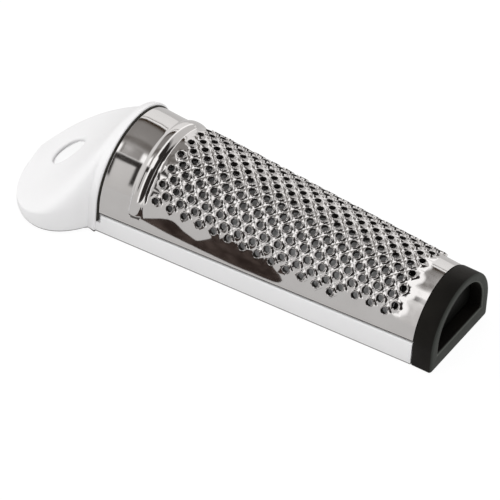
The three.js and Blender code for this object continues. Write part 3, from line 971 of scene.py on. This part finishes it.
# Inputs of the tree that rolls the sheet up, and of its burrs
SHELL_SIZES = {
    "Length": FOOT_FRONT,
    "Shoulder radius": SHOULDER_RADIUS,
    "Foot radius": FOOT_RADIUS,
    "Shoulder spring": SHOULDER_SPRING,
    "Foot spring": FOOT_SPRING,
    "Shoulder place": SHOULDER,
    "Lip variation": BURR_LEAN,
}


def burred_sheet(tree, given):
    """The flat sheet with a burr at every marked point, each lip leaning a little its own way."""

    def named(name, kind):
        inputs = {"Name": name}
        return tree.node("GeometryNodeInputNamedAttribute", inputs, data_type=kind).outputs["Attribute"]

    is_site = named("burr", "BOOLEAN")
    burr_shape = tree.node("GeometryNodeObjectInfo", {"Object": given["Burr"]}).outputs["Geometry"]
    set_out = {"Points": given["Geometry"], "Selection": is_site, "Instance": burr_shape}
    burrs = tree.first("GeometryNodeInstanceOnPoints", set_out)
    spread = tree.first("ShaderNodeCombineXYZ", {axis: given["Lip variation"] for axis in "XYZ"})
    against = tree.first("ShaderNodeVectorMath", {0: spread, "Scale": -1.0}, operation="SCALE")
    limits = {"Min": against, "Max": spread, "Seed": given["Seed"]}
    random = tree.node("FunctionNodeRandomValue", limits, data_type="FLOAT_VECTOR").outputs["Value"]
    kept = {"Geometry": burrs, "Name": "lean", "Value": random}
    burrs = tree.first("GeometryNodeStoreNamedAttribute", kept, data_type="FLOAT_VECTOR", domain="INSTANCE")
    burrs = tree.first("GeometryNodeRealizeInstances", {"Geometry": burrs})
    lean = {0: named("lean", "FLOAT_VECTOR"), "Scale": named("lip", "FLOAT")}
    leaning = tree.first("ShaderNodeVectorMath", lean, operation="SCALE")
    burrs = tree.first("GeometryNodeSetPosition", {"Geometry": burrs, "Offset": leaning})
    marked = {"Geometry": given["Geometry"], "Selection": is_site}
    plain = tree.first("GeometryNodeDeleteGeometry", marked, domain="POINT")
    joined = tree.node("GeometryNodeJoinGeometry")
    for geometry in (plain, burrs):
        tree.tree.links.new(geometry, joined.inputs[0])
    welded = {"Geometry": joined.outputs[0], "Distance": WELD * MM}
    return tree.first("GeometryNodeMergeByDistance", welded)


def rolled_place(tree, given):
    """Where a point of the flat sheet comes to lie when the sheet is rolled up to its cone."""
    station, across, lift = tree.parts(tree.first("GeometryNodeInputPosition"))
    sizes = [Number(tree, given[name]) for name in SHELL_SIZES]
    length, shoulder_radius, foot_radius, shoulder_spring, foot_spring, shoulder, _ = sizes
    cone = (shoulder_radius - foot_radius).math("ARCTAN2", length)
    sine, cosine = cone.math("SINE"), cone.math("COSINE")
    slant_to_apex = shoulder_radius / sine
    to_apex = slant_to_apex - station / cosine
    slant = (to_apex * to_apex + across * across).math("SQRT")
    turned = across.math("ARCTAN2", to_apex) / sine
    x = (slant_to_apex - slant) * cosine
    share = x / length
    radius = shoulder_radius.toward(foot_radius, share)
    spring = shoulder_spring.toward(foot_spring, share)
    bend = turned.math("ABSOLUTE").math("MINIMUM", pi / 2)
    drop = (turned.math("ABSOLUTE") - pi / 2).math("MAXIMUM", 0.0) * radius
    y = turned.math("SIGN") * (radius + lift) * bend.math("SINE")
    z = spring + (radius + lift) * bend.math("COSINE") - drop
    return tree.first("ShaderNodeCombineXYZ", {"X": x + shoulder, "Y": y, "Z": z})


def rolling_tree(burr, steel):
    """Sets a burr at every marked point of a flat sheet and rolls the sheet into the tapered shell."""
    group = bpy.data.node_groups.new("rolled_grating_sheet", "GeometryNodeTree")
    tree = Tree(group)
    for way in ("INPUT", "OUTPUT"):
        group.interface.new_socket("Geometry", in_out=way, socket_type="NodeSocketGeometry")
    inputs = [(name, "Float", size * MM) for name, size in SHELL_SIZES.items()]
    inputs += [("Seed", "Int", BURR_SEED), ("Burr", "Object", burr), ("Steel", "Material", steel)]
    values = {}
    for name, kind, value in inputs:
        socket = group.interface.new_socket(name, in_out="INPUT", socket_type="NodeSocket" + kind)
        values[socket.identifier] = value
    given = tree.node("NodeGroupInput").outputs
    moved = {"Geometry": burred_sheet(tree, given), "Position": rolled_place(tree, given)}
    rolled = tree.first("GeometryNodeSetPosition", moved)
    whole = tree.first("GeometryNodeRealizeInstances", {"Geometry": rolled})
    dressed_sheet = tree.first("GeometryNodeSetMaterial", {"Geometry": whole, "Material": given["Steel"]})
    tree.node("NodeGroupOutput", {0: dressed_sheet})
    return group, values


def grating_shell(steel):
    burr = new_object("burr", burr_mesh())
    shell = new_object("grating_shell_steel", flat_shell())
    rolled = shell.modifiers.new("rolled", "NODES")
    rolled.node_group, values = rolling_tree(burr, steel)
    for identifier, value in values.items():
        rolled[identifier] = value
    apply_modifiers(shell)
    bpy.data.objects.remove(burr)
    for name in ("burr", "lean"):
        shell.data.attributes.remove(shell.data.attributes[name])
    finish_mesh(shell.data, HARD_STEEL_EDGE)
    return shell


# Materials


def empty_tree(owner):
    owner.use_nodes = True
    owner.node_tree.nodes.clear()
    return Tree(owner.node_tree)


def new_material(name):
    material = bpy.data.materials.new(name)
    return material, empty_tree(material)


def noise(tree, scale, detail=3.0, stretch=(1, 1, 1)):
    """Noise on the piece's own coordinates, scale in features per metre."""
    stretched = tree.first("ShaderNodeMapping", {"Vector": tree.own_place(), "Scale": stretch})
    return tree.number("ShaderNodeTexNoise", {"Vector": stretched, "Scale": scale, "Detail": detail})


def color_between(tree, factor, low, high):
    low, high = ((*c, 1) if isinstance(c, tuple) else c for c in (low, high))
    inputs = {"Factor": factor, "A": low, "B": high}
    return tree.node("ShaderNodeMix", inputs, data_type="RGBA").outputs["Result"]


def shade(tree, color, roughness, height, bump_distance, **constants):
    bump = tree.first("ShaderNodeBump", {"Height": height, "Distance": bump_distance, "Strength": 1.0})
    inputs = {"Base Color": color, "Roughness": roughness, "Normal": bump}
    inputs.update({name.replace("_", " "): value for name, value in constants.items()})
    shader = tree.first("ShaderNodeBsdfPrincipled", inputs)
    tree.node("ShaderNodeOutputMaterial", {"Surface": shader})


def white_moulding():
    """Glossy white plastic: faint cloudy tone, a soft unevenness of gloss, a trace of orange peel, and a
    thin grey line of painted contact shadow along the edge it stands on."""
    material, tree = new_material("white_moulding")
    color = color_between(tree, noise(tree, 45, 2), *WHITE_TONES)
    x, _, z = tree.parts(tree.own_place())
    # Painted contact shadow: a grey band just above the floor, reaching higher along the handle
    above_line = z - CONTACT_SHADOW_RAISED * MM * (1 - x.between(row_x(-1), row_x(0)))
    painted_shading = z.between(*in_metres(CONTACT_SHADOW_LOW)) * (1 - above_line.between(*in_metres(CONTACT_SHADOW_TOP)))
    color = color_between(tree, painted_shading, color, CONTACT_SHADOW_GREY)
    roughness = 0.34 + 0.1 * noise(tree, 120, 3)
    shade(tree, color, roughness, noise(tree, 600, 2), 0.000002)
    return material


def polished_steel():
    """Stainless sheet polished to a mirror: fine rolling marks, small dents and a slight unevenness."""
    material, tree = new_material("polished_steel")
    marks = noise(tree, 1400, 4, stretch=(0.06, 1, 1))
    patches = noise(tree, 120, 3)
    roughness = 0.05 + 0.04 * marks + 0.05 * patches
    waves = noise(tree, 110, 1) + 0.01 * marks
    shade(tree, color_between(tree, patches, *POLISHED_TONES), roughness, waves, 0.0001, Metallic=1.0)
    return material


def dull_shaded_steel():
    """The unpolished inner skin of the sheet, darkened as painted shade: grey, with a matt grain drawn along
    it.
    """
    material, tree = new_material("dull_shaded_steel")
    grain = noise(tree, 900, 4, stretch=(0.08, 1, 1))
    color = color_between(tree, noise(tree, 90, 3), *DULL_SHADED_TONES)
    shade(tree, color, 0.36 + 0.16 * grain, grain, 0.00002, Metallic=1.0)
    return material


def dull_shaded_inside(shell, skin):
    """Gives the sheet's inner face, the burrs' bores and the turned-in edges their own material, a dark dull
    steel that paints the shade inside the shell and under the fold.
    """
    shell.data.materials.append(skin)
    lip = [point.value for point in shell.data.attributes["lip"].data]
    for face in shell.data.polygons:
        above = face.center.z / MM - spring_at(face.center.x / MM - SHOULDER)
        outward = Vector((0, face.center.y / MM, max(above, 0))).normalized()
        shares = [lip[corner] for corner in face.vertices]
        bore = max(shares) > 0.99 and min(shares) < 0.01
        # Painted shade: the inner face, the bores and the downward faces of the fold take the dark dull steel
        face.material_index = int(bore or face.normal.dot(outward) < -0.2 or face.normal.z < -0.1)
    shell.data.attributes.remove(shell.data.attributes["lip"])


def pocket_rim_highlight(x, y, z):
    """Mask of a painted highlight: 1 along the rounded rim of the foot's pocket, strongest at its near side,
    0 elsewhere.
    """
    above = (z - POCKET_SPRING * MM).math("MAXIMUM", 0.0)
    round_arch = (y * y + above * above).math("SQRT") - POCKET_RADIUS * MM
    outside = round_arch.math("MAXIMUM", POCKET_FLOOR * MM - z)
    near = (1 - RIM_LEAST) * (y * -1.0).between(*in_metres(RIM_NEAR)) * z.between(*in_metres(RIM_HIGH))
    around = (RIM_LEAST + near) * outside.band(*in_metres(RIM_BAND))
    return around * x.between(*(row_x(FOOT_FRONT - back) for back in RIM_BACK))


def black_rubber(name, tones, grain, painted_shading, painted_light_from):
    """Dull black rubber, finely grained, greyer where it is dusty, lighter from a station on with painted
    light, and with a painted highlight along the foot's pocket rim.
    """
    material, tree = new_material(name)
    dust = noise(tree, 70, 4).between(0.35, 0.75)
    x, y, z = tree.parts(tree.own_place())
    # Painted light: from this station on towards the foot, the rubber takes the lighter tone
    lit_front = x.between(row_x(painted_light_from), row_x(painted_light_from + 0.5))
    color = color_between(tree, lit_front, color_between(tree, dust, *tones), painted_shading)
    # Painted highlight along the rim of the foot's pocket
    color = color_between(tree, pocket_rim_highlight(x, y, z), color, RIM_HIGHLIGHT_GREY)
    roughness = 0.5 + 0.16 * noise(tree, 300, 3)
    shade(tree, color, roughness, noise(tree, grain, 3), 0.00002, Specular_IOR_Level=0.16)
    return material


def black_moulding():
    material, tree = new_material("black_moulding")
    color = color_between(tree, noise(tree, 90, 3), *PLUG_TONES)
    roughness = 0.38 + 0.14 * noise(tree, 260, 3)
    shade(tree, color, roughness, noise(tree, 1100, 2), 0.00001, Specular_IOR_Level=0.12)
    return material


# Studio


def white_floor():
    """A pale floor. What the camera and the steel see of it is lifted to white, shadows stay."""
    corners = ((-1, -1), (1, -1), (1, 1), (-1, 1))
    points = [(x * FLOOR_HALF_M, y * FLOOR_HALF_M, -FLOOR_DROP_M) for x, y in corners]
    floor = new_object("floor", new_mesh("floor", points, [(0, 1, 2, 3)]))
    material, tree = new_material("floor_white")
    path = tree.node("ShaderNodeLightPath").outputs
    east = tree.parts(tree.own_place())[0]
    reflected = FLOOR_MIRRORED + FLOOR_MIRRORED_EAST * east.between(*FLOOR_EAST_M)
    direct = Number(tree, path["Is Camera Ray"]) + path["Is Transmission Ray"]
    mirrored = Number(tree, path["Is Glossy Ray"])
    seen = FLOOR_LIFT * direct + reflected * mirrored
    paint, thin_paint = (tree.first("ShaderNodeBsdfDiffuse", {"Color": color}) for color in FLOOR_PAINTS)
    paint = tree.first("ShaderNodeMixShader", {0: direct + mirrored, 1: paint, 2: thin_paint})
    glow = color_between(tree, mirrored, *FLOOR_GLOWS)
    lift = tree.first("ShaderNodeEmission", {"Color": glow, "Strength": seen})
    both = tree.first("ShaderNodeAddShader", {0: paint, 1: lift})
    tree.node("ShaderNodeOutputMaterial", {"Surface": both})
    floor.data.materials.append(material)
    floor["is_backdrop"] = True


def room_level(tree, east, over):
    """Brightness of the room in the steel: rings of light and dark round the grater, and plainer ends."""
    stops = [(degrees / 180, (level / BRIGHTEST,) * 3 + (1,)) for degrees, level in ROOM]
    ramp = tree.first("ShaderNodeValToRGB", {0: over / pi}, stops=stops)
    level = BRIGHTEST * Number(tree, ramp)
    level = level.toward(STRIP_LEVEL, over.band(*STRIP_OVER) * east.band(*STRIP_EAST))
    level = level.toward(HANDLE_END_LEVEL, 1 - east.between(*HANDLE_END))
    level = level.toward(BRIGHTEST, east.between(*FOOT_END))
    return level.toward(FAR_LEVEL, east.between(*FAR_EAST) * over.between(*FAR_OVER))


def room_dark(east, over):
    """1 where the steel sees the dark rail, post and corner towards the camera, 0 elsewhere."""
    rail = over.band(*RAIL_OVER) * east.band(*RAIL_EAST)
    post = east.band(*POST_EAST) * over.band(*POST_OVER)
    past_window = east - WINDOW_SHIFT * over.band(*WINDOW_OVER)
    corner = past_window.between(*CORNER_START) * (1 - east.between(*CORNER_END))
    corner = corner * (1 - over.between(*CORNER_TOP))
    return rail.math("MAXIMUM", post).math("MAXIMUM", corner)


def studio_world():
    """White to the camera, an even grey to dull surfaces, a room with lights and dark places to the steel."""
    bpy.context.scene.world = bpy.data.worlds.new("studio")
    tree = empty_tree(bpy.context.scene.world)
    east, north, up = tree.parts(tree.node("ShaderNodeTexCoord").outputs["Generated"])
    over = up.math("ARCTAN2", north * -1.0)
    level = room_level(tree, east, over)
    warm = {"X": level, "Y": level - LESS_GREEN, "Z": level - LESS_BLUE}
    room = color_between(tree, room_dark(east, over), tree.first("ShaderNodeCombineXYZ", warm), DARK_ROOM)
    path = tree.node("ShaderNodeLightPath").outputs
    white, grey, mirrored = (
        tree.first("ShaderNodeBackground", {"Color": color, "Strength": strength})
        for color, strength in ((WHITE, 1.0), (WHITE, DIFFUSE_WORLD), (room, 1.0))
    )
    seen = Number(tree, path["Is Camera Ray"]) + path["Is Transmission Ray"]
    shown = tree.first("ShaderNodeMixShader", {0: seen, 1: grey, 2: white})
    shown = tree.first("ShaderNodeMixShader", {0: path["Is Glossy Ray"], 1: shown, 2: mirrored})
    tree.node("ShaderNodeOutputWorld", {"Surface": shown})


def height_at(line, x):
    """Height of a line of (x, height) corners at x."""
    for (x0, z0), (x1, z1) in zip(line, line[1:]):
        if x <= x1:
            break
    return z0 + (z1 - z0) * (x - x0) / (x1 - x0)


def dark_flag():
    """A low brown card with two humps beside the near rail. Only shiny surfaces see it."""
    steps = spaced(CARD_TOP[0][0], CARD_TOP[-1][0], CARD_STEPS)
    points = [place(x, CARD_Y, height_at(line, x)) for line in (CARD_FOOT, CARD_TOP) for x in steps]
    count = len(steps)
    faces = [(n, n + 1, count + n + 1, count + n) for n in range(count - 1)]
    flag = new_object("dark_flag", new_mesh("dark_flag", points, faces))
    flag.visible_camera = flag.visible_diffuse = flag.visible_transmission = flag.visible_shadow = False
    material, tree = new_material("flag_brown")
    color = color_between(tree, noise(tree, 160, 4).between(0.3, 0.8), *CARD_TONES)
    tree.node("ShaderNodeOutputMaterial", {"Surface": tree.first("ShaderNodeEmission", {"Color": color})})
    flag.data.materials.append(material)
    flag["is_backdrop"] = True


def softbox(name, place_m, size_m, power):
    light = bpy.data.lights.new(name, "AREA")
    light.shape = "RECTANGLE"
    light.size, light.size_y = size_m
    light.energy = power
    lamp = new_object(name, light)
    lamp.location = place_m
    lamp.rotation_euler = (-Vector(place_m)).to_track_quat("-Z", "Y").to_euler()
    lamp.visible_glossy = lamp.visible_camera = False


def camera():
    """The photograph's camera: it looks from the near right, from well above, with a long lens."""
    a, e, r = VIEW_AZIMUTH, VIEW_ELEVATION, VIEW_ROLL
    back = Vector((sin(a) * cos(e), -cos(a) * cos(e), sin(e)))
    right = Vector((0, 0, 1)).cross(back).normalized()
    upward = back.cross(right)
    level_right = right * cos(r) + upward * sin(r)
    level_up = upward * cos(r) - right * sin(r)
    eye = Vector(place(*VIEW_TARGET)) + back * VIEW_DISTANCE * MM
    turn = Matrix((level_right, level_up, back)).transposed().to_4x4()
    lens = bpy.data.cameras.new("camera")
    lens.sensor_width = SENSOR
    lens.lens = FOCAL_PIXELS / PICTURE_PIXELS * SENSOR
    viewer = new_object("camera", lens)
    viewer.matrix_world = Matrix.Translation(eye) @ turn
    bpy.context.scene.camera = viewer


def dressed(piece, material, body, node):
    piece.data.materials.clear()
    piece.data.materials.append(material)
    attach(piece, body)
    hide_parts(node)


steel = polished_steel()
rubber = black_rubber("black_rubber", FOOT_TONES, 1500, FOOT_PAINTED_LIGHT, FOOT_FRONT - 0.7)
seal_rubber = black_rubber("seal_rubber", SEAL_TONES, 2000, SEAL_PAINTED_LIGHT, SEAL_END - 0.3)
dressed(handle_tray(), white_moulding(), "handle", "handle_tray")
dressed(shoulder_seal(), seal_rubber, "handle", "shoulder_seal")
shell = grating_shell(steel)
dressed(shell, steel, "shell", "grating_shell")
dull_shaded_inside(shell, dull_shaded_steel())
dressed(rubber_foot(), rubber, "shell", "foot_cap")
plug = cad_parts["end_plug"]
plug.data.materials.clear()
plug.data.materials.append(black_moulding())

white_floor()
dark_flag()
studio_world()
for name, box in SOFTBOXES.items():
    softbox(name, *box)
camera()

scene = bpy.context.scene
scene.view_settings.view_transform = "Standard"

bounds = {"cad": cad_bounds, "looks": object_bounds()}
{name: [list(map(float, corner)) for corner in box] for name, box in bounds.items()}
